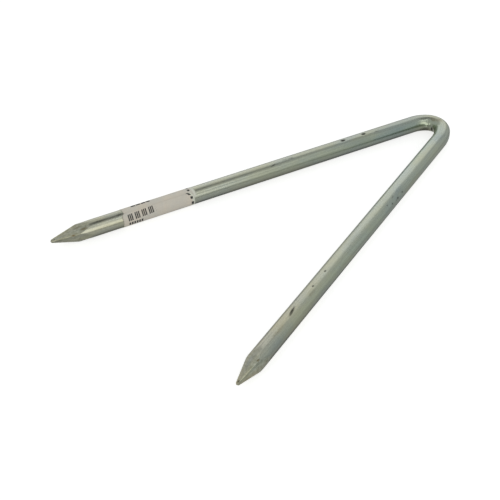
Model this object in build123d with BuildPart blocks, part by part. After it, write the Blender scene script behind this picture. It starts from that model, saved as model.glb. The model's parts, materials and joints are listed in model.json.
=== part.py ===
from build123d import *
from math import cos, radians, sin
import os

# A forked nail: one length of round drawn bar, pointed at both ends and bent into a narrow V,
# with a paper sticker wrapped round one leg. The V lies flat, opening towards +X, with the
# labelled leg on the -Y side. The origin is under the middle of the bounding box, on the
# surface that the nail lies on.

# --- driving dimensions (mm and degrees) ---
bar_radius = 4.0
overall_length = 200.7          # outside of the crown to the tips, along the V's axis
tip_spread = 115.8              # between the centres of the two tips
leg_lean = 14.65                # each leg's angle from the V's axis

labelled_leg_straight = 194.3   # tip to the start of the bend
plain_leg_straight = 191.9
labelled_side_bend_radius = 14.7
labelled_side_bend_angle = 31.2
crown_bend_radius = 6.73
crown_bend_angle = 96.3
plain_side_bend_radius = 23.5

facet_slope = 0.191             # fall of a facet towards the axis, per mm of length
tip_half_width = 0.49           # a facet's distance from the axis at the very end
tip_rounding = 0.3
labelled_facet_roll = 15.0      # roll of the first facet about its leg, from straight up
plain_facet_roll = -12.0
facets_per_tip = 4

paper_thickness = 0.1
label_start = 33.2              # from the labelled tip to the label's near edge
label_length = 36.0
lap_top_roll = 24.0             # where the outer end of the paper lies, from straight up
lap_arc = 44.0                  # how far the paper's two ends overlap, round the bar

# --- worked-out values ---
centre_height = bar_radius + paper_thickness
tip_x = overall_length / 2
plain_side_bend_angle = 180 - 2 * leg_lean - labelled_side_bend_angle - crown_bend_angle
facet_reach = 1.2 * (bar_radius - tip_half_width) / facet_slope

labelled_tip = Vector(tip_x, -tip_spread / 2, centre_height)
labelled_axis = Vector(-cos(radians(leg_lean)), sin(radians(leg_lean)), 0)
plain_axis = Vector(-cos(radians(leg_lean)), -sin(radians(leg_lean)), 0)


def across(axis, roll):
    """The unit direction square to a leg's axis, turned by roll from straight up."""
    return Vector(0, 0, 1).rotate(Axis((0, 0, 0), axis), roll)


def cut_facets(tip, axis, first_roll):
    """Grinds the flat facets of one point: each is a plane that leans in towards the tip."""
    for number in range(facets_per_tip):
        normal = across(axis, first_roll + number * 360 / facets_per_tip)
        blade = Plane(origin=tip, x_dir=axis, z_dir=axis.cross(normal))
        with BuildSketch(blade) as wedge:
            with BuildLine():
                Polyline(
                    (-1, tip_half_width - facet_slope),
                    (facet_reach, tip_half_width + facet_slope * facet_reach),
                    (facet_reach, 2 * bar_radius),
                    (-1, 2 * bar_radius),
                    close=True,
                )
            make_face()
        extrude(wedge.sketch, amount=2 * bar_radius, both=True, mode=Mode.SUBTRACT)


# --- the steel bar, with its bend and both points ---
with BuildPart() as staple_bar:
    with BuildLine() as centre_line:
        first_leg = Line(labelled_tip, labelled_tip + labelled_axis * labelled_leg_straight)
        first_bend = JernArc(
            start=first_leg @ 1,
            tangent=first_leg % 1,
            radius=labelled_side_bend_radius,
            arc_size=-labelled_side_bend_angle,
        )
        crown = JernArc(
            start=first_bend @ 1,
            tangent=first_bend % 1,
            radius=crown_bend_radius,
            arc_size=-crown_bend_angle,
        )
        last_bend = JernArc(
            start=crown @ 1,
            tangent=crown % 1,
            radius=plain_side_bend_radius,
            arc_size=-plain_side_bend_angle,
        )
        last_leg = Line(last_bend @ 1, (last_bend @ 1) + (last_bend % 1) * plain_leg_straight)
    with BuildSketch(Plane(origin=labelled_tip, z_dir=labelled_axis)):
        Circle(bar_radius)
    sweep()
    plain_tip = last_leg @ 1
    cut_facets(labelled_tip, labelled_axis, labelled_facet_roll)
    cut_facets(plain_tip, plain_axis, plain_facet_roll)
    end_faces = staple_bar.faces().sort_by(Axis.X)[-2:]
    fillet(end_faces.edges(), radius=tip_rounding)

staple_bar.part.label = "staple_bar"

# --- the paper sticker: one sheet, wrapped a little over one turn ---
label_origin = labelled_tip + labelled_axis * label_start
with BuildPart() as paper_label:
    with BuildSketch(Plane(origin=label_origin, x_dir=across(labelled_axis, 0), z_dir=labelled_axis)):
        Circle(bar_radius + paper_thickness)
        Circle(bar_radius, mode=Mode.SUBTRACT)
        with BuildLine():
            inner = CenterArc((0, 0), bar_radius + paper_thickness / 2, lap_top_roll, lap_arc)
            outer = CenterArc((0, 0), bar_radius + 2 * paper_thickness, lap_top_roll, lap_arc)
            Line(inner @ 0, outer @ 0)
            Line(inner @ 1, outer @ 1)
        make_face()
    extrude(amount=label_length)

paper_label.part.label = "paper_label"

os.makedirs("parts", exist_ok=True)
export_step(staple_bar.part, "parts/staple_bar.step")
export_step(paper_label.part, "parts/paper_label.step")

box = staple_bar.part.bounding_box()
print("bar box", box.min, box.max)
print("plain tip", plain_tip)
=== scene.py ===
import json
import math

import bpy
import numpy as np
from mathutils import Matrix, Vector


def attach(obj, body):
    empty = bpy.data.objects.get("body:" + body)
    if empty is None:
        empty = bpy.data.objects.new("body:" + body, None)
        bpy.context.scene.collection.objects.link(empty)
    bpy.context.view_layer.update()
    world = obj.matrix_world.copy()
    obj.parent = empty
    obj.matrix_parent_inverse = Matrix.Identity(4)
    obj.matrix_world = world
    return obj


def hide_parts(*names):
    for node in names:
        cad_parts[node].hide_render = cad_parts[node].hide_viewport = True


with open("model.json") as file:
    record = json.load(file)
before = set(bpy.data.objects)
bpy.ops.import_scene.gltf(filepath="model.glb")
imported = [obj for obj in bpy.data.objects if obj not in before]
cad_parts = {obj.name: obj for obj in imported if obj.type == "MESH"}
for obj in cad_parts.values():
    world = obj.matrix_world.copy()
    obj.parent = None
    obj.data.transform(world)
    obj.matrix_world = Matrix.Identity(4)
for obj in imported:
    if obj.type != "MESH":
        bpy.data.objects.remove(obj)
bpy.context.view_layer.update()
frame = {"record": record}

# --- Camera -------------------------------------------------------------------------------------
# The nail is seen from in front of its points and to the plain leg's side, looking down at it
# as it lies flat. All places are worked out from the two legs' axes, which meet at the apex.

MM = 0.001
mounts = {m["name"]: m for m in frame["record"]["mounts"]}
leg_axes = {name: np.array(mounts[name]["axis"]) for name in ("labelled_leg", "plain_leg")}
leg_points = {name: np.array(mounts[name]["pos_m"]) for name in leg_axes}
between = leg_points["plain_leg"] - leg_points["labelled_leg"]
across_legs = np.stack([leg_axes["labelled_leg"][:2], -leg_axes["plain_leg"][:2]], axis=1)
along_labelled_leg = np.linalg.solve(across_legs, between[:2])[0]
apex = Vector(leg_points["labelled_leg"] + along_labelled_leg * leg_axes["labelled_leg"])

view_azimuth = math.radians(134.06)
view_elevation = math.radians(40.11)
view_roll = math.radians(1.90)
view_distance = 484.6 * MM
aim = apex + Vector((162.2, 5.1, 0.0)) * MM

forward = Vector((
    -math.sin(view_azimuth) * math.cos(view_elevation),
    math.cos(view_azimuth) * math.cos(view_elevation),
    -math.sin(view_elevation),
))
level_right = forward.cross(Vector((0, 0, 1))).normalized()
level_up = level_right.cross(forward)
right = level_right * math.cos(view_roll) + level_up * math.sin(view_roll)
up = right.cross(forward)

camera_data = bpy.data.cameras.new("camera")
camera_data.sensor_width = 36.0
camera_data.lens = 80.6
camera_data.clip_start = 0.01
camera_data.clip_end = 20.0
camera = bpy.data.objects.new("camera", camera_data)
bpy.context.scene.collection.objects.link(camera)
turn = Matrix((right, up, -forward)).transposed().to_4x4()
camera.matrix_world = Matrix.Translation(aim - forward * view_distance) @ turn
bpy.context.scene.camera = camera

# --- Floor and light ----------------------------------------------------------------------------
# The nail lies on a sheet of opal acrylic lit from below, so the sheet shows nearly white. Above
# it is a pale studio with four soft lamps. Zinc shows mostly what is around it, so the lamps'
# places and sizes draw the long bands on the bar.


def linear(hex_colour):
    """An sRGB hex colour as linear RGBA."""
    channels = [int(hex_colour[i:i + 2], 16) / 255 for i in (1, 3, 5)]
    return [c / 12.92 if c <= 0.04045 else ((c + 0.055) / 1.055) ** 2.4 for c in channels] + [1.0]


def add_node(tree, kind, settings=None, inputs=None):
    """Adds one node. settings sets its properties. inputs sets its sockets, by name or number, to a
    value or to another node's output. A colour Mix node's sockets are 0, 6 and 7, and it gives 2."""
    node = tree.nodes.new(kind)
    for key, value in (settings or {}).items():
        setattr(node, key, value)
    for key, value in (inputs or {}).items():
        if isinstance(value, bpy.types.NodeSocket):
            tree.links.new(value, node.inputs[key])
        else:
            node.inputs[key].default_value = value
    return node


def new_material(name):
    """An empty node material and its tree, with a Principled shader joined to the output."""
    material = bpy.data.materials.new(name)
    material.use_nodes = True
    tree = material.node_tree
    tree.nodes.clear()
    shader = add_node(tree, "ShaderNodeBsdfPrincipled")
    add_node(tree, "ShaderNodeOutputMaterial", inputs={"Surface": shader.outputs[0]})
    return material, tree, shader


def opal_acrylic():
    """Frosted opal acrylic: matt, with the light below it glowing evenly through."""
    material, tree, shader = new_material("opal acrylic")
    shader.inputs["Base Color"].default_value = linear("#c4c4c2")
    shader.inputs["Roughness"].default_value = 0.9
    shader.inputs["Specular IOR Level"].default_value = 0.1
    shader.inputs["Emission Color"].default_value = linear("#ffffff")
    shader.inputs["Emission Strength"].default_value = 0.72
    return material


half_side = 5.0                 # metres, so that its edge stays out of sight
corners = [
    (-half_side, -half_side, 0),
    (half_side, -half_side, 0),
    (half_side, half_side, 0),
    (-half_side, half_side, 0),
]
sheet_mesh = bpy.data.meshes.new("floor")
sheet_mesh.from_pydata(corners, [], [(0, 1, 2, 3)])
sheet_mesh.materials.append(opal_acrylic())
sheet = bpy.data.objects.new("floor", sheet_mesh)
sheet.visible_glossy = False
sheet.visible_diffuse = False
bpy.context.scene.collection.objects.link(sheet)


def direction(azimuth, elevation):
    """The unit direction at an azimuth, counted from +X towards +Y, and an elevation, in degrees."""
    turn_from_x = math.radians(azimuth)
    rise = math.radians(elevation)
    flat = math.cos(rise)
    return Vector((math.cos(turn_from_x) * flat, math.sin(turn_from_x) * flat, math.sin(rise)))


def soft_lamp(name, toward, distance, half_angle, brightness, hex_colour):
    """A round soft lamp that faces the object. half_angle is how wide it looks from there, in
    degrees, and brightness is its radiance, where the white sheet is about 1."""
    radius = distance * math.tan(math.radians(half_angle))
    lamp_data = bpy.data.lights.new(name, "AREA")
    lamp_data.shape = "DISK"
    lamp_data.size = 2 * radius
    lamp_data.energy = brightness * math.pi * math.pi * radius ** 2
    lamp_data.color = linear(hex_colour)[:3]
    lamp = bpy.data.objects.new(name, lamp_data)
    bpy.context.scene.collection.objects.link(lamp)
    lamp.location = toward * distance
    lamp.rotation_mode = "QUATERNION"
    lamp.rotation_quaternion = toward.to_track_quat("Z", "Y")


soft_lamp("lamp over the crown", direction(211, 29), 1.3, 24, 0.47, "#fffefc")
soft_lamp("low lamp behind the crown", direction(241, 12), 1.3, 13, 0.46, "#fffefc")
soft_lamp("lamp on the plain side", direction(79, 26), 0.6, 19, 1.05, "#fffbf4")
soft_lamp("small lamp above it", direction(108, 56), 1.0, 7, 1.35, "#fffefc")

world = bpy.data.worlds.new("studio")
world.use_nodes = True
studio = world.node_tree
background = studio.nodes["Background"]
facing = add_node(studio, "ShaderNodeTexCoord").outputs["Generated"]
height = add_node(studio, "ShaderNodeSeparateXYZ", inputs={0: facing}).outputs["Z"]
table_glow = 0.44
room_glow = 0.60
above_floor = add_node(studio, "ShaderNodeMapRange", {"clamp": True, "interpolation_type": "SMOOTHSTEP"},
                       {"Value": height, "From Min": -0.15, "From Max": 0.15,
                        "To Min": table_glow, "To Max": room_glow})

# Parts of the studio that are darker or brighter: a gap in the ceiling, the table lit by the lamp
# on the plain side, and the table that the bar itself shades. Each has its direction, how far from
# it the change begins and is full, in degrees, and the change.
strength = above_floor.outputs[0]
for toward, begins, is_full, change in [
    (direction(186, 75), 16, 5, 0.05),
    (direction(82, -24), 26, 8, 1.42),
    (direction(175, -62), 33, 14, 0.45),
]:
    nearness = add_node(studio, "ShaderNodeVectorMath", {"operation": "DOT_PRODUCT"},
                        {0: facing, 1: toward})
    changed = add_node(studio, "ShaderNodeMapRange", {"clamp": True, "interpolation_type": "SMOOTHSTEP"},
                       {"Value": nearness.outputs["Value"], "From Min": math.cos(math.radians(begins)),
                        "From Max": math.cos(math.radians(is_full)), "To Min": 1.0, "To Max": change})
    strength = add_node(studio, "ShaderNodeMath", {"operation": "MULTIPLY"},
                        {0: strength, 1: changed.outputs[0]}).outputs[0]
studio.links.new(strength, background.inputs["Strength"])
background.inputs["Color"].default_value = linear("#fcffff")
world.cycles.sampling_method = "NONE"
bpy.context.scene.world = world
bpy.context.scene.view_settings.view_transform = "Standard"

# --- The bar ------------------------------------------------------------------------------------
# One length of 8 mm drawn mild steel bar. Both ends are pressed to four-sided points between
# dies, the bar is bent cold round a small pin, and the whole is electroplated with zinc.

bar_radius = 4.0
leg_reach = 229.0               # from the apex to each tip
labelled_leg_straight = 194.3
plain_leg_straight = 191.9
bend_arcs = [(14.7, 31.2), (6.73, 96.3), (23.5, 23.2)]      # radius and turn, from the labelled leg
bend_lengths = [radius * math.radians(turn_angle) for radius, turn_angle in bend_arcs]
bar_length = labelled_leg_straight + sum(bend_lengths) + plain_leg_straight
bend_starts = labelled_leg_straight
bend_ends = bar_length - plain_leg_straight

facet_slope = 0.193
tip_half_width = 0.49
labelled_ridge_roll = -60.0
plain_ridge_roll = 33.0
labelled_power = 26             # the squareness of its section: this point's ridges are sharper
plain_power = 18
labelled_softness = 0.03        # mm over which the facets run into the round bar
plain_softness = 0.11

labelled_heading = -leg_axes["labelled_leg"]
labelled_tip = np.array(apex) / MM + leg_reach * leg_axes["labelled_leg"]


def centre_line(u):
    """The bar's centre line at u mm from the labelled tip: the place and the unit direction to the
    outside of the V. It is a straight run, three arcs that turn clockwise, and a straight run.
    A run moves by d times its heading. An arc of radius r turns its heading h to h - d / r, and
    moves by r (sin h - sin(h - d / r)) along x and r (cos(h - d / r) - cos h) along y."""
    x = np.full_like(u, labelled_tip[0])
    y = np.full_like(u, labelled_tip[1])
    heading = math.atan2(labelled_heading[1], labelled_heading[0])
    headings = np.full_like(u, heading)
    begins = 0.0
    pieces = [(labelled_leg_straight, None)]
    pieces += [(length, radius) for length, (radius, _) in zip(bend_lengths, bend_arcs)]
    pieces += [(plain_leg_straight, None)]
    for length, radius in pieces:
        d = np.clip(u - begins, 0, length)
        if radius is None:
            x += d * math.cos(heading)
            y += d * math.sin(heading)
        else:
            x += radius * (math.sin(heading) - np.sin(heading - d / radius))
            y += radius * (np.cos(heading - d / radius) - math.cos(heading))
            headings -= d / radius
            heading -= length / radius
        begins += length
    place = np.stack([x, y, np.full_like(x, labelled_tip[2])], axis=-1)
    outside = np.stack([-np.sin(headings), np.cos(headings), np.zeros_like(x)], axis=-1)
    return place, outside


def point_radius(s, roll, ridge_roll, power):
    """Distance from the axis to the surface of a point, s mm from its tip. The section is a square
    with rounded corners, h over the power-norm of (cos q, sin q), where q is the roll from a
    facet's middle and h is the facet's distance, which grows evenly with s."""
    h = tip_half_width + facet_slope * np.maximum(s, 0)
    q = np.radians(roll - ridge_roll + 45)
    return h / (np.abs(np.cos(q)) ** power + np.abs(np.sin(q)) ** power) ** (1 / power)


def softer_of(a, b, softness):
    """The lesser of two lengths, with the corner between them rounded over about softness."""
    return -softness * np.log(np.exp(-a / softness) + np.exp(-b / softness))


def patch(u, roll, at_u, at_roll, half_length, half_width, slant=0.0):
    """A round-topped patch, 1 in its middle: the Gaussian of the distances along and round the
    bar, each over the patch's half size in mm. slant leans it, in degrees of roll per mm."""
    around = (roll - at_roll - slant * (u - at_u) + 180) % 360 - 180
    return np.exp(-((u - at_u) / half_length) ** 2 - (np.radians(around) * bar_radius / half_width) ** 2)


# Knocks from handling, then the creases that the bending pin left inside the bend. Each has its
# place along the bar, its roll, half length, half width and depth in mm, and its slant. Where the
# depth is negative the metal was pushed up.
knocks = [
    (152.0, 1.0, 1.7, 0.95, 0.16, 0.0),
    (164.0, 1.0, 1.6, 0.9, 0.16, 0.0),
    (171.0, -16.0, 1.0, 0.7, 0.06, 0.0),
    (bar_length - 42.8, -0.5, 4.0, 0.85, 0.09, 2.05),
    (bar_length - 60.7, 0.0, 0.9, 0.6, 0.08, 0.0),
    (bar_length - 71.8, -2.0, 0.9, 0.6, 0.08, 0.0),
    (bar_length - 141.7, 56.0, 0.9, 0.7, 0.08, 0.0),
    (bar_length - 136.8, 61.0, 1.2, 0.8, 0.08, 0.0),
]
creases = [
    (202.3, -50.0, 1.1, 1.2, 0.30, 0.0),
    (197.0, -80.0, 1.8, 1.6, 0.05, 0.0),
    (207.0, -90.0, 2.6, 3.4, 0.14, 0.0),
    (200.9, -76.0, 0.9, 1.1, -0.10, 0.0),
    (203.6, -67.0, 0.6, 0.9, -0.12, 0.0),
]


def bar_surface(u, roll):
    """Points of the bar's skin at u mm along it and roll degrees round it from straight up,
    positive to the outside of the V: centre + R (cos(roll) up + sin(roll) outside). R is the
    bar's radius, a few hundredths of a millimetre uneven from drawing, cut down to the points'
    facets at each end, thinner across the bend than over it, and dented by the patches."""
    place, outside = centre_line(u)
    radius = bar_radius - 0.006 * (1 + np.sin(u / 5.3 + np.radians(2 * roll)) * np.sin(u / 17.0 + 1.0))
    in_bend = np.exp(-((u - (bend_starts + bend_ends) / 2) / 9.0) ** 2)
    radius = radius - 0.11 * in_bend * np.sin(np.radians(roll)) ** 2
    for at_u, at_roll, half_length, half_width, depth, slant in knocks + creases:
        radius = radius - depth * patch(u, roll, at_u, at_roll, half_length, half_width, slant)
    radius = softer_of(radius, point_radius(u, roll, labelled_ridge_roll, labelled_power),
                       labelled_softness)
    radius = softer_of(radius, point_radius(bar_length - u, roll, plain_ridge_roll, plain_power),
                       plain_softness)
    radius = radius - 0.09 * np.exp(-((u - 15.5) / 2.4) ** 2)
    blunt = np.clip(np.minimum(u, bar_length - u) / 0.55, 0, 1)
    radius = radius * np.sqrt(1 - (1 - blunt) ** 2)
    angle = np.radians(roll)
    upward = np.array([0.0, 0.0, 1.0])
    spoke = np.cos(angle)[..., None] * upward + np.sin(angle)[..., None] * outside
    return (place + radius[..., None] * spoke) * MM


def closed_tube(name, points):
    """A mesh from a grid of points, rows along a tube by columns round it. The columns close on
    themselves, and each end row is drawn in to one point at its middle."""
    rows, columns = points.shape[:2]
    poles = points[[0, -1]].mean(axis=1)
    corner = np.arange(rows * columns).reshape(rows, columns)
    here, there = corner[:-1], corner[1:]
    quads = np.stack([here, np.roll(here, -1, 1), np.roll(there, -1, 1), there], axis=-1).reshape(-1, 4)
    first = np.stack([np.roll(corner[0], -1), corner[0], np.full(columns, rows * columns)], axis=-1)
    last = np.stack([corner[-1], np.roll(corner[-1], -1), np.full(columns, rows * columns + 1)], axis=-1)
    mesh = bpy.data.meshes.new(name)
    vertices = np.concatenate([points.reshape(-1, 3), poles])
    mesh.from_pydata(vertices.tolist(), [], quads.tolist() + first.tolist() + last.tolist())
    mesh.polygons.foreach_set("use_smooth", np.ones(len(mesh.polygons), bool))
    return mesh


def stations():
    """Places along the bar, in mm: close together at both points, round the bend and at knocks."""
    tip = np.concatenate([0.6 * (1 - np.cos(np.linspace(0.12, math.pi / 2, 9))), np.arange(0.8, 24, 0.2)])
    runs = [
        tip,
        np.arange(24, 148, 1.2),
        np.arange(148, 168, 0.4),
        np.arange(168, bend_starts, 1.2),
        np.arange(bend_starts, 213, 0.25),
        np.arange(213, bend_ends + 2, 0.5),
        np.arange(bend_ends + 2, bar_length - 74, 1.2),
        np.arange(bar_length - 74, bar_length - 36, 0.5),
        np.arange(bar_length - 36, bar_length - 24, 1.2),
        bar_length - tip[::-1],
    ]
    return np.concatenate(runs)


roll_step = 3
along, rolls = np.meshgrid(stations(), np.arange(-180.0, 180.0, roll_step), indexing="ij")
bar_mesh = closed_tube("zinc_bar", bar_surface(along, rolls))


def store(mesh, name, kind, values):
    """Stores one value a vertex as a named attribute of the mesh."""
    data = mesh.attributes.new(name, kind, "POINT").data
    field = "vector" if kind == "FLOAT_VECTOR" else "value"
    data.foreach_set(field, np.ascontiguousarray(values, dtype=np.float32).reshape(-1))


def with_poles(values, at_poles):
    """A grid's values in vertex order, followed by those of its two poles."""
    values = values.reshape(-1, *values.shape[2:])
    return np.concatenate([values, np.asarray(at_poles, float)])


roll_angles = np.radians(rolls)
straight = np.stack([along, bar_radius * np.cos(roll_angles), bar_radius * np.sin(roll_angles)], axis=-1)
store(bar_mesh, "straight_bar", "FLOAT_VECTOR", with_poles(straight, [(0, 0, 0), (bar_length, 0, 0)]))


def painted(patches):
    """Some patches added up over the bar. Each has its place along the bar, its roll, its half
    length and half width in mm, its slant and its strength."""
    return sum(
        strength * patch(along, rolls, at_u, at_roll, half_length, half_width, slant)
        for at_u, at_roll, half_length, half_width, slant, strength in patches
    )


# Dark marks where the plating is knocked through or burnt, deeper knocks more strongly. Four more are painted
# shade and a painted reflection, as noted below.
marks = [(u, roll, length, width, slant, 0.5 + 3 * depth) for u, roll, length, width, depth, slant in knocks]
marks += [
    (bar_length - 134.2, 27.5, 1.4, 0.7, 3.0, 0.55),
    (bar_length - 134.6, 64.0, 0.8, 0.6, 0.0, 0.42),
    (bar_length - 131.4, 56.0, 1.1, 0.7, 0.0, 0.68),
    (bar_length - 127.7, 35.5, 0.9, 0.7, 0.0, 0.62),
    (bar_length - 139.4, 20.5, 1.0, 0.4, 0.0, 0.5),
    (bar_length - 131.5, 22.0, 1.2, 0.4, 0.0, 0.5),
    # Painted reflection: these two deepen the dark line along the labelled point that the gap in the ceiling
    # reflects.
    (22.4, -20.5, 8.0, 0.68, 0.0, 0.70),
    (32.5, -19.5, 2.2, 0.65, 0.0, 0.6),
    (111.6, -22.0, 2.4, 0.5, 3.0, 0.66),
    (118.2, -5.0, 2.4, 0.4, -2.0, 0.5),
    (122.4, -10.0, 2.0, 0.5, -3.0, 0.55),
    (bar_length - 106.5, -34.0, 2.2, 0.4, 0.0, 0.6),
    (202.2, -46.0, 0.9, 0.9, 0.0, 0.45),
    # Painted shade: these two darken the hollow inside the bend, where the bar shades itself.
    (207.3, -104.0, 1.3, 2.0, 0.0, 0.62),
    (200.5, -112.0, 6.5, 2.2, 0.0, 0.60),
    (3.4, -96.0, 3.0, 1.6, 0.0, 0.52),
    (1.6, -30.0, 0.8, 2.0, 0.0, 0.55),
    (bar_length - 1.3, 0.0, 1.0, 3.4, 0.0, 0.62),
]
store(bar_mesh, "dark_marks_and_painted_shade", "FLOAT", with_poles(painted(marks), [0.0, 0.0]))

# Brown stains, where the passivated film has run together and dried: on the points, along the
# ridges and facet ends, and over the crown.
stains = [
    (9.6, -60.0, 1.1, 0.6, 0.0, 0.9),
    (14.8, -34.0, 2.0, 0.9, 0.0, 0.8),
    (12.5, -2.0, 2.4, 0.8, 0.0, 0.6),
    (6.0, -25.0, 3.5, 1.2, 0.0, 0.4),
    (0.6, 0.0, 0.9, 9.0, 0.0, 0.3),
    (bar_length - 12.5, 30.0, 0.8, 0.5, 0.0, 0.95),
    (bar_length - 16.5, 85.0, 1.2, 0.7, 0.0, 0.5),
    (bar_length - 0.6, 0.0, 1.0, 9.0, 0.0, 0.4),
    (bar_length - 30.0, 12.0, 8.0, 0.9, 0.0, 0.42),
    (bar_length - 57.0, 22.0, 4.0, 1.1, 0.0, 0.42),
    (bar_length - 5.0, 60.0, 3.0, 1.2, 0.0, 0.35),
    (205.6, -26.0, 2.0, 1.4, 0.0, 0.62),
    (209.0, -4.0, 2.6, 2.0, 0.0, 0.5),
]
store(bar_mesh, "brown_stains", "FLOAT", with_poles(painted(stains), [0.5, 0.5]))

# The greener film: it grew towards the crown on the labelled leg and all along the plain one.
film = [
    (205.0, -60.0, 125.0, 3.1, 0.0, 1.0),
    (bar_length - 80.0, 52.0, 130.0, 3.1, 0.0, 0.9),
]
store(bar_mesh, "green_film", "FLOAT", with_poles(np.clip(painted(film), 0, 1), [0.0, 0.5]))

# Thicker film dries to a blue-grey haze, in patches: on the plain point's top facet and beside it,
# by the small pits, past the bend, and before it.
haze = [
    (bar_length - 9.5, -14.0, 5.0, 2.2, 0.0, 1.0),
    (bar_length - 26.0, 55.0, 10.0, 1.6, 0.0, 0.6),
    (bar_length - 97.0, -2.0, 5.0, 1.2, 0.0, 0.7),
    (bar_length - 140.0, 32.0, 5.0, 1.4, 0.0, 0.8),
    (224.0, 5.0, 5.0, 2.2, 0.0, 0.8),
    (186.0, -42.0, 8.0, 1.6, 0.0, 0.4),
    (160.0, -48.0, 6.0, 1.4, 0.0, 0.5),
]
store(bar_mesh, "blue_haze", "FLOAT", with_poles(np.clip(painted(haze), 0, 1), [0.0, 0.0]))


def facet_share(s, ridge, power):
    """How much a place belongs to a point's facets: 1 on them, falling smoothly to 0 over a few
    tenths of a millimetre where they would pass outside the round bar. The exponent stops at 700,
    where the share is already 0."""
    past_bar = (point_radius(s, rolls, ridge, power) - bar_radius + 0.05) / 0.06
    return 1 / (1 + np.exp(np.minimum(past_bar, 700)))


# Where the dies pressed, and where the ridges between their facets are painted brighter: partly wear from
# handling, partly a painted highlight along them.
points = [(along, labelled_ridge_roll, labelled_power), (bar_length - along, plain_ridge_roll, plain_power)]
pressed = sum(facet_share(s, ridge, power) for s, ridge, power in points)
store(bar_mesh, "pressed_facet", "FLOAT", with_poles(pressed, [1.0, 1.0]))
from_ridge = [np.abs((rolls - ridge + 45) % 90 - 45) for _, ridge, _ in points]
rubbed_and_highlight = sum(np.exp(-(away / 4.5) ** 2) * np.exp(-(np.maximum(s - 9.5, 0) / 1.2) ** 2)
             for away, (s, _, _) in zip(from_ridge, points))
# Spots painted brighter: the two inside the bend are painted highlights; the others brighten the labelled tip
# and the side of the plain point.
burnish_and_highlight_spots = [
    (201.1, -77.0, 0.6, 0.6, 0.0, 4.2),
    (203.8, -68.0, 0.5, 0.5, 0.0, 4.2),
    (1.2, -70.0, 0.8, 1.5, 0.0, 1.2),
    (bar_length - 9.0, 76.0, 6.0, 2.0, 0.0, 0.5),
]
store(bar_mesh, "rubbed_ridge_and_highlight", "FLOAT", with_poles(rubbed_and_highlight + painted(burnish_and_highlight_spots), [0.0, 0.0]))


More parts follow.
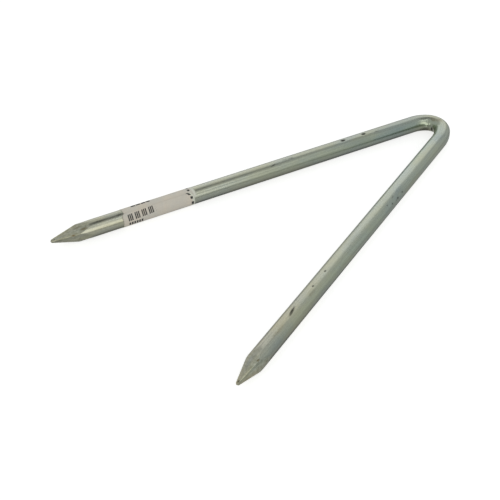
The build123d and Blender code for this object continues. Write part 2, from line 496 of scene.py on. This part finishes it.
def zinc_plated_steel():
    """Electroplated zinc, passivated, on drawn steel: a dull grey metal, warmer towards the points,
    with a greener film along both legs, a blue-grey haze in patches, soft clouds, faint lines along
    the bar from the drawing die, brown stains and a few nearly black marks, four of them painted
    shade and a painted reflection. The ridges and a few spots are painted brighter, partly as wear
    and partly as painted highlights."""
    material, tree, shader = new_material("zinc-plated steel")
    place = add_node(tree, "ShaderNodeAttribute", {"attribute_name": "straight_bar"}).outputs["Vector"]
    marks_and_shade_in = add_node(tree, "ShaderNodeAttribute", {"attribute_name": "dark_marks_and_painted_shade"}).outputs["Fac"]
    stains_in = add_node(tree, "ShaderNodeAttribute", {"attribute_name": "brown_stains"}).outputs["Fac"]
    facet_in = add_node(tree, "ShaderNodeAttribute", {"attribute_name": "pressed_facet"}).outputs["Fac"]
    ridge_and_highlight_in = add_node(tree, "ShaderNodeAttribute", {"attribute_name": "rubbed_ridge_and_highlight"}).outputs["Fac"]
    green_in = add_node(tree, "ShaderNodeAttribute", {"attribute_name": "green_film"}).outputs["Fac"]
    haze_in = add_node(tree, "ShaderNodeAttribute", {"attribute_name": "blue_haze"}).outputs["Fac"]

    along_bar = add_node(tree, "ShaderNodeSeparateXYZ", inputs={0: place}).outputs["X"]
    share = add_node(tree, "ShaderNodeMath", {"operation": "DIVIDE"}, {0: along_bar, 1: bar_length})
    tone = add_node(tree, "ShaderNodeValToRGB", inputs={0: share.outputs[0]})
    ramp = tone.color_ramp
    colours = [
        (0.0, "#bcbaac"),
        (0.10, "#babaad"),
        (0.28, "#b4b6ac"),
        (0.46, "#b1b4ac"),
        (0.49, "#b6b5a7"),
        (0.53, "#b4b7ae"),
        (0.56, "#b6b9b0"),
        (0.80, "#babaae"),
        (1.0, "#bfb9a8"),
    ]
    for element, (position, hex_colour) in zip(ramp.elements, [colours[0], colours[-1]]):
        element.position = position
        element.color = linear(hex_colour)
    for position, hex_colour in colours[1:-1]:
        ramp.elements.new(position).color = linear(hex_colour)

    # Clouds in the film, 10 to 30 mm long and a third as wide.
    cloud_place = add_node(tree, "ShaderNodeMapping", inputs={"Vector": place, "Scale": (0.05, 0.16, 0.16)})
    clouds = add_node(tree, "ShaderNodeTexNoise",
                      inputs={"Vector": cloud_place.outputs[0], "Scale": 1.0, "Detail": 4.0,
                              "Roughness": 0.6})
    cloud_tint = add_node(tree, "ShaderNodeMapRange",
                          inputs={"Value": clouds.outputs["Fac"], "From Min": 0.38, "From Max": 0.62})
    filmed = add_node(tree, "ShaderNodeMix", {"data_type": "RGBA", "blend_type": "MULTIPLY"},
                      {0: green_in, 6: tone.outputs["Color"], 7: linear("#f2fffe")})
    hazed = add_node(tree, "ShaderNodeMix", {"data_type": "RGBA", "blend_type": "MULTIPLY"},
                     {0: haze_in, 6: filmed.outputs[2], 7: linear("#e6ecf9")})
    tinted = add_node(tree, "ShaderNodeMix", {"data_type": "RGBA", "blend_type": "MULTIPLY"},
                      {0: 1.0, 6: hazed.outputs[2]})
    tint = add_node(tree, "ShaderNodeMix", {"data_type": "RGBA"},
                    {0: cloud_tint.outputs[0], 6: linear("#f3f6f8"), 7: linear("#fffdf0")})
    tree.links.new(tint.outputs[2], tinted.inputs[7])

    # Lines from the drawing die: 0.3 to 0.6 mm apart, and long.
    line_place = add_node(tree, "ShaderNodeMapping", inputs={"Vector": place, "Scale": (0.02, 2.2, 2.2)})
    lines = add_node(tree, "ShaderNodeTexNoise",
                     inputs={"Vector": line_place.outputs[0], "Scale": 1.0, "Detail": 2.0, "Roughness": 0.7})
    # The grain of the plating: crystals are far finer than shows, so it is drawn at about 0.5 mm.
    grain = add_node(tree, "ShaderNodeTexNoise",
                     inputs={"Vector": place, "Scale": 1.9, "Detail": 3.0, "Roughness": 0.7})
    uneven = add_node(tree, "ShaderNodeMath", {"operation": "ADD"},
                      {0: lines.outputs["Fac"], 1: grain.outputs["Fac"]})
    shade = add_node(tree, "ShaderNodeMapRange",
                     inputs={"Value": uneven.outputs[0], "From Min": 0.6, "From Max": 1.4,
                             "To Min": 0.78, "To Max": 1.22})
    shaded = add_node(tree, "ShaderNodeVectorMath", {"operation": "SCALE"},
                      {0: tinted.outputs[2], "Scale": shade.outputs[0]})

    # Facets pressed by the dies: mottled at about 1.5 mm, browner in patches.
    mottle = add_node(tree, "ShaderNodeTexNoise",
                      inputs={"Vector": place, "Scale": 0.7, "Detail": 4.0, "Roughness": 0.7})
    mottle_tint = add_node(tree, "ShaderNodeValToRGB", inputs={0: mottle.outputs["Fac"]})
    mottle_tint.color_ramp.elements[0].position = 0.34
    mottle_tint.color_ramp.elements[0].color = linear("#d2d2c9")
    mottle_tint.color_ramp.elements[1].position = 0.66
    mottle_tint.color_ramp.elements[1].color = linear("#ffffff")
    facet_colour = add_node(tree, "ShaderNodeMix", {"data_type": "RGBA", "blend_type": "MULTIPLY"},
                            {0: facet_in, 6: shaded.outputs[0], 7: mottle_tint.outputs["Color"]})

    # The dies burnish the facets. Their ridges and the spots are painted brighter, partly as wear from
    # handling and partly as painted highlights.
    facet_gain = add_node(tree, "ShaderNodeMath", {"operation": "MULTIPLY_ADD"},
                          {0: facet_in, 1: 0.30, 2: 1.0})
    ridge_and_highlight_gain = add_node(tree, "ShaderNodeMath", {"operation": "MULTIPLY_ADD"},
                          {0: ridge_and_highlight_in, 1: 0.35, 2: facet_gain.outputs[0]})
    burnished_and_highlighted = add_node(tree, "ShaderNodeVectorMath", {"operation": "SCALE"},
                         {0: facet_colour.outputs[2], "Scale": ridge_and_highlight_gain.outputs[0]})

    # Stains have ragged edges from the mottle, and marks from the lines and the grain.
    ragged_stain = add_node(tree, "ShaderNodeMath", {"operation": "MULTIPLY"},
                            {0: stains_in, 1: mottle.outputs["Fac"]})
    stain_mask = add_node(tree, "ShaderNodeMapRange",
                          inputs={"Value": ragged_stain.outputs[0], "From Min": 0.12, "From Max": 0.42,
                                  "To Max": 0.85})
    stained = add_node(tree, "ShaderNodeMix", {"data_type": "RGBA", "blend_type": "MULTIPLY"},
                       {0: stain_mask.outputs[0], 6: burnished_and_highlighted.outputs[0], 7: linear("#a8926e")})
    ragged_mark = add_node(tree, "ShaderNodeMath", {"operation": "MULTIPLY"},
                           {0: marks_and_shade_in, 1: uneven.outputs[0]})
    mark_mask = add_node(tree, "ShaderNodeMapRange", {"interpolation_type": "SMOOTHSTEP"},
                         {"Value": ragged_mark.outputs[0], "From Min": 0.25, "From Max": 0.75,
                          "To Max": 0.92})
    marked = add_node(tree, "ShaderNodeMix", {"data_type": "RGBA"},
                      {0: mark_mask.outputs[0], 6: stained.outputs[2], 7: linear("#33342e")})
    tree.links.new(marked.outputs[2], shader.inputs["Base Color"])

    # Clean film is smoother, clouded and stained film is duller.
    dull = add_node(tree, "ShaderNodeMapRange",
                    inputs={"Value": clouds.outputs["Fac"], "From Min": 0.3, "From Max": 0.7,
                            "To Min": 0.24, "To Max": 0.32})
    duller = add_node(tree, "ShaderNodeMath", {"operation": "MULTIPLY_ADD"},
                      {0: mark_mask.outputs[0], 1: 0.3, 2: dull.outputs[0]})
    facet_dull = add_node(tree, "ShaderNodeMath", {"operation": "MULTIPLY_ADD"},
                          {0: facet_in, 1: 0.13, 2: duller.outputs[0]})
    tree.links.new(facet_dull.outputs[0], shader.inputs["Roughness"])
    shader.inputs["Metallic"].default_value = 1.0

    relief = add_node(tree, "ShaderNodeBump",
                      inputs={"Strength": 0.35, "Distance": 0.02 * MM, "Height": uneven.outputs[0]})
    facet_relief = add_node(tree, "ShaderNodeMath", {"operation": "MULTIPLY"},
                            {0: facet_in, 1: mottle.outputs["Fac"]})
    pressed_relief = add_node(tree, "ShaderNodeBump",
                              inputs={"Strength": 0.5, "Distance": 0.12 * MM,
                                      "Height": facet_relief.outputs[0], "Normal": relief.outputs[0]})
    tree.links.new(pressed_relief.outputs[0], shader.inputs["Normal"])
    return material


bar_mesh.materials.append(zinc_plated_steel())
bar = bpy.data.objects.new("zinc_bar", bar_mesh)
bpy.context.scene.collection.objects.link(bar)
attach(bar, "root")
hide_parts("staple_bar")

# --- The sticker --------------------------------------------------------------------------------
# A plain self-adhesive paper label, printed in black and die-cut with rounded corners. It is
# wound just over one turn round the leg, so that its outer end laps its inner end.

sheet_width = 35.6              # along the leg
sheet_starts = 32.9             # from the labelled tip to its near edge, at the outer end
sheet_skew = 1.3 / 340          # mm that it was wound off square, a degree
sheet_thickness = 0.08
outer_end_roll = -24.0
wrap_angle = 404.0
lap_angle = wrap_angle - 360.0
corner_radius = 2.0
under_radius = 4.045            # middle of the paper where it lies on the bar
mm_per_degree = math.radians(1) * under_radius


def sheet_surface(turned, share, side):
    """Points of the sticker: turned degrees round the leg from its outer end, share from -1 to 1
    of its half width, and side 1 for its printed face or -1 for its glued face. It is a spiral
    about the leg's axis, a little off square: the radius is the paper's own, one thickness more
    where it laps, and a little more where the outer end lifts. The half width narrows as a quarter
    circle at the corners. A low ridge of paper crosses the upper side 5 mm from the near edge."""
    from_end = np.minimum(turned, wrap_angle - turned) * mm_per_degree
    short = np.clip(corner_radius - from_end, 0, corner_radius)
    half_width = sheet_width / 2 - corner_radius + np.sqrt(corner_radius ** 2 - short ** 2)
    u = sheet_starts + sheet_skew * turned + sheet_width / 2 + share * half_width
    roll = outer_end_roll - turned
    off_lap = np.clip((turned - lap_angle) / 14, 0, 1)
    radius = under_radius + 0.1 * (1 - off_lap ** 2 * (3 - 2 * off_lap))
    lift = np.clip(1 - turned / 16, 0, 1) ** 2
    far_corner = np.clip((share - 0.5) / 0.5, 0, 1)
    near_corner = np.clip((-share - 0.6) / 0.4, 0, 1)
    radius = radius + lift * (0.05 + 0.10 * far_corner + 0.06 * near_corner)
    from_top = (roll + 180) % 360 - 180
    crease = sheet_starts + 5.0 - 0.012 * from_top
    on_top = np.exp(-(from_top / 26) ** 2) * (turned > 180)
    radius = radius + 0.012 * on_top * np.exp(-((u - crease) / 0.45) ** 2) * (u > sheet_starts)
    radius = radius + side * sheet_thickness / 2
    place, outside = centre_line(u)
    angle = np.radians(roll)
    spoke = np.cos(angle)[..., None] * np.array([0.0, 0.0, 1.0]) + np.sin(angle)[..., None] * outside
    return (place + radius[..., None] * spoke) * MM


def thin_sheet(name, face, back):
    """A closed mesh from two grids of points, the face and the back of one sheet, joined round the
    four edges by narrow walls."""
    rows, columns = face.shape[:2]
    top = np.arange(rows * columns).reshape(rows, columns)
    under = top + rows * columns
    top_quads = np.stack([top[:-1, :-1], top[:-1, 1:], top[1:, 1:], top[1:, :-1]], axis=-1).reshape(-1, 4)
    under_quads = (top_quads + rows * columns)[:, ::-1]
    rim = np.concatenate([top[0], top[1:, -1], top[-1, -2::-1], top[-2:0:-1, 0]])
    rim_under = rim + rows * columns
    walls = np.stack([np.roll(rim, -1), rim, rim_under, np.roll(rim_under, -1)], axis=-1)
    mesh = bpy.data.meshes.new(name)
    vertices = np.concatenate([face.reshape(-1, 3), back.reshape(-1, 3)])
    quads = np.concatenate([top_quads, under_quads, walls])
    mesh.from_pydata(vertices.tolist(), [], quads.tolist())
    mesh.polygons.foreach_set("use_smooth", np.arange(len(quads)) < 2 * len(top_quads))
    return mesh


near_end = 40 * (1 - np.cos(np.linspace(0, math.pi / 2, 21)))
turn_steps = np.concatenate([near_end, np.arange(42, wrap_angle - 40, 2.0), wrap_angle - near_end[::-1]])
share_steps = np.linspace(-1, 1, 145)
turned, share = np.meshgrid(turn_steps, share_steps, indexing="ij")
printed_face = sheet_surface(turned, share, 1.0)
glued_face = sheet_surface(turned, share, -1.0)
sticker_mesh = thin_sheet("paper_sticker", printed_face, glued_face)

flat_place = np.stack([(share + 1) * sheet_width / 2, turned * mm_per_degree], axis=-1).reshape(-1, 2)
flat_place = np.concatenate([
    np.column_stack([flat_place, np.ones(len(flat_place))]),
    np.column_stack([flat_place, np.zeros(len(flat_place))]),
])
store(sticker_mesh, "flat_sheet", "FLOAT_VECTOR", flat_place)


def printed_bars(tree, along, around, left, right, low, high, pitch, ink):
    """Where a row of plain upright bars is printed, 1 on the ink. It is between left and right
    along the sheet and low and high round it, all in mm, and ink is a bar's share of the pitch."""
    in_length = add_node(tree, "ShaderNodeMath", {"operation": "COMPARE"},
                         {0: along, 1: (left + right) / 2, 2: (right - left) / 2})
    in_height = add_node(tree, "ShaderNodeMath", {"operation": "COMPARE"},
                         {0: around, 1: (low + high) / 2, 2: (high - low) / 2})
    in_block = add_node(tree, "ShaderNodeMath", {"operation": "MULTIPLY"},
                        {0: in_length.outputs[0], 1: in_height.outputs[0]})
    offset = add_node(tree, "ShaderNodeMath", {"operation": "SUBTRACT"}, {0: along, 1: left - 100 * pitch})
    step = add_node(tree, "ShaderNodeMath", {"operation": "MODULO"}, {0: offset.outputs[0], 1: pitch})
    on_bar = add_node(tree, "ShaderNodeMath", {"operation": "LESS_THAN"},
                      {0: step.outputs[0], 1: ink * pitch})
    return add_node(tree, "ShaderNodeMath", {"operation": "MULTIPLY"},
                    {0: in_block.outputs[0], 1: on_bar.outputs[0]}).outputs[0]


def label_paper():
    """Uncoated label paper, off-white and matt, faintly mottled by its fibres and a little grubby
    towards its cut edges, with plain black print."""
    material, tree, shader = new_material("label paper")
    flat = add_node(tree, "ShaderNodeAttribute", {"attribute_name": "flat_sheet"}).outputs["Vector"]
    parts = add_node(tree, "ShaderNodeSeparateXYZ", inputs={0: flat})
    along, around, face = parts.outputs["X"], parts.outputs["Y"], parts.outputs["Z"]

    # Fibres lie every way, 1 to 2 mm long, and clouds of them show at about 6 mm.
    fibres = add_node(tree, "ShaderNodeTexNoise",
                      inputs={"Vector": flat, "Scale": 1.6, "Detail": 5.0, "Roughness": 0.7})
    blotches = add_node(tree, "ShaderNodeTexNoise", inputs={"Vector": flat, "Scale": 0.16, "Detail": 2.0})
    blotch_range = add_node(tree, "ShaderNodeMapRange",
                            inputs={"Value": blotches.outputs["Fac"], "From Min": 0.35, "From Max": 0.65})
    paper = add_node(tree, "ShaderNodeMix", {"data_type": "RGBA"},
                     {0: blotch_range.outputs[0], 6: linear("#d9d4c9"), 7: linear("#e1d7c7")})
    fibre_shade = add_node(tree, "ShaderNodeMapRange",
                           inputs={"Value": fibres.outputs["Fac"], "From Min": 0.3, "From Max": 0.7,
                                   "To Min": 0.95, "To Max": 1.05})
    fibred = add_node(tree, "ShaderNodeVectorMath", {"operation": "SCALE"},
                      {0: paper.outputs[2], "Scale": fibre_shade.outputs[0]})

    # The far edge shows a pale rim of adhesive, about 1 mm wide.
    rim = add_node(tree, "ShaderNodeMapRange",
                   inputs={"Value": along, "From Min": sheet_width - 1.4, "From Max": sheet_width - 1.0,
                           "To Max": 0.8})
    rimmed = add_node(tree, "ShaderNodeMix", {"data_type": "RGBA"},
                      {0: rim.outputs[0], 6: fibred.outputs[0], 7: linear("#e6e9da")})

    # Grime gathers within 0.6 mm of the edges that run round the leg and of the outer end.
    from_middle = add_node(tree, "ShaderNodeMath", {"operation": "SUBTRACT"}, {0: along, 1: sheet_width / 2})
    to_side = add_node(tree, "ShaderNodeMath", {"operation": "ABSOLUTE"}, {0: from_middle.outputs[0]})
    side_grime = add_node(tree, "ShaderNodeMapRange",
                          inputs={"Value": to_side.outputs[0], "From Min": sheet_width / 2 - 0.6,
                                  "From Max": sheet_width / 2, "To Max": 0.22})
    end_grime = add_node(tree, "ShaderNodeMapRange",
                         inputs={"Value": around, "From Min": 0.4, "From Max": 0.0, "To Max": 0.12})
    grime = add_node(tree, "ShaderNodeMath", {"operation": "MAXIMUM"},
                     {0: side_grime.outputs[0], 1: end_grime.outputs[0]})
    grubby = add_node(tree, "ShaderNodeMix", {"data_type": "RGBA", "blend_type": "MULTIPLY"},
                      {0: grime.outputs[0], 6: rimmed.outputs[2], 7: linear("#8f887c")})

    # The print is generic: a bold row of four groups of bars, which runs slightly uphill, a
    # smaller row below it, a dashed band over the top, and five small blocks at the far edge.
    uphill = add_node(tree, "ShaderNodeMath", {"operation": "MULTIPLY_ADD"}, {0: along, 1: 0.052, 2: around})
    bold_row = printed_bars(tree, along, uphill.outputs[0], 2.5, 16.2, 1.2, 4.3, 0.855, 0.66)
    groups = printed_bars(tree, along, uphill.outputs[0], 2.5, 16.2, 1.2, 4.3, 3.42, 0.74)
    bold_bars = add_node(tree, "ShaderNodeMath", {"operation": "MULTIPLY"},
                         {0: bold_row, 1: groups}).outputs[0]
    rows = [
        bold_bars,
        printed_bars(tree, along, around, 2.6, 9.8, 4.9, 6.7, 1.2, 0.66),
        printed_bars(tree, along, around, 5.0, 14.4, 21.2, 23.0, 2.5, 0.84),
    ]
    far_edge_blocks = [
        (33.4, 34.6, 0.0, 1.1),
        (33.6, 34.8, 1.9, 3.0),
        (33.8, 35.0, 4.4, 6.2),
        (32.4, 33.5, 23.4, 24.5),
        (32.6, 33.7, 21.2, 22.4),
    ]
    solid_pitch = 1.5               # wider than a block, so that each is one solid bar
    rows += [printed_bars(tree, along, around, *block, solid_pitch, 1.0) for block in far_edge_blocks]
    ink = rows[0]
    for row in rows[1:]:
        ink = add_node(tree, "ShaderNodeMath", {"operation": "MAXIMUM"}, {0: ink, 1: row}).outputs[0]
    on_face = add_node(tree, "ShaderNodeMath", {"operation": "GREATER_THAN"}, {0: face, 1: 0.5})
    ink_on_face = add_node(tree, "ShaderNodeMath", {"operation": "MULTIPLY"}, {0: ink, 1: on_face.outputs[0]})
    worn_ink = add_node(tree, "ShaderNodeMath", {"operation": "MULTIPLY"},
                        {0: ink_on_face.outputs[0], 1: 0.94})
    printed = add_node(tree, "ShaderNodeMix", {"data_type": "RGBA"},
                       {0: worn_ink.outputs[0], 6: grubby.outputs[2], 7: linear("#1d1c1c")})
    tree.links.new(printed.outputs[2], shader.inputs["Base Color"])
    shader.inputs["Roughness"].default_value = 0.62
    shader.inputs["Specular IOR Level"].default_value = 0.35
    relief = add_node(tree, "ShaderNodeBump",
                      inputs={"Strength": 0.4, "Distance": 0.03 * MM, "Height": fibres.outputs["Fac"]})
    tree.links.new(relief.outputs[0], shader.inputs["Normal"])
    return material


sticker_mesh.materials.append(label_paper())
sticker = bpy.data.objects.new("paper_sticker", sticker_mesh)
bpy.context.scene.collection.objects.link(sticker)
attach(sticker, "root")
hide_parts("paper_label")
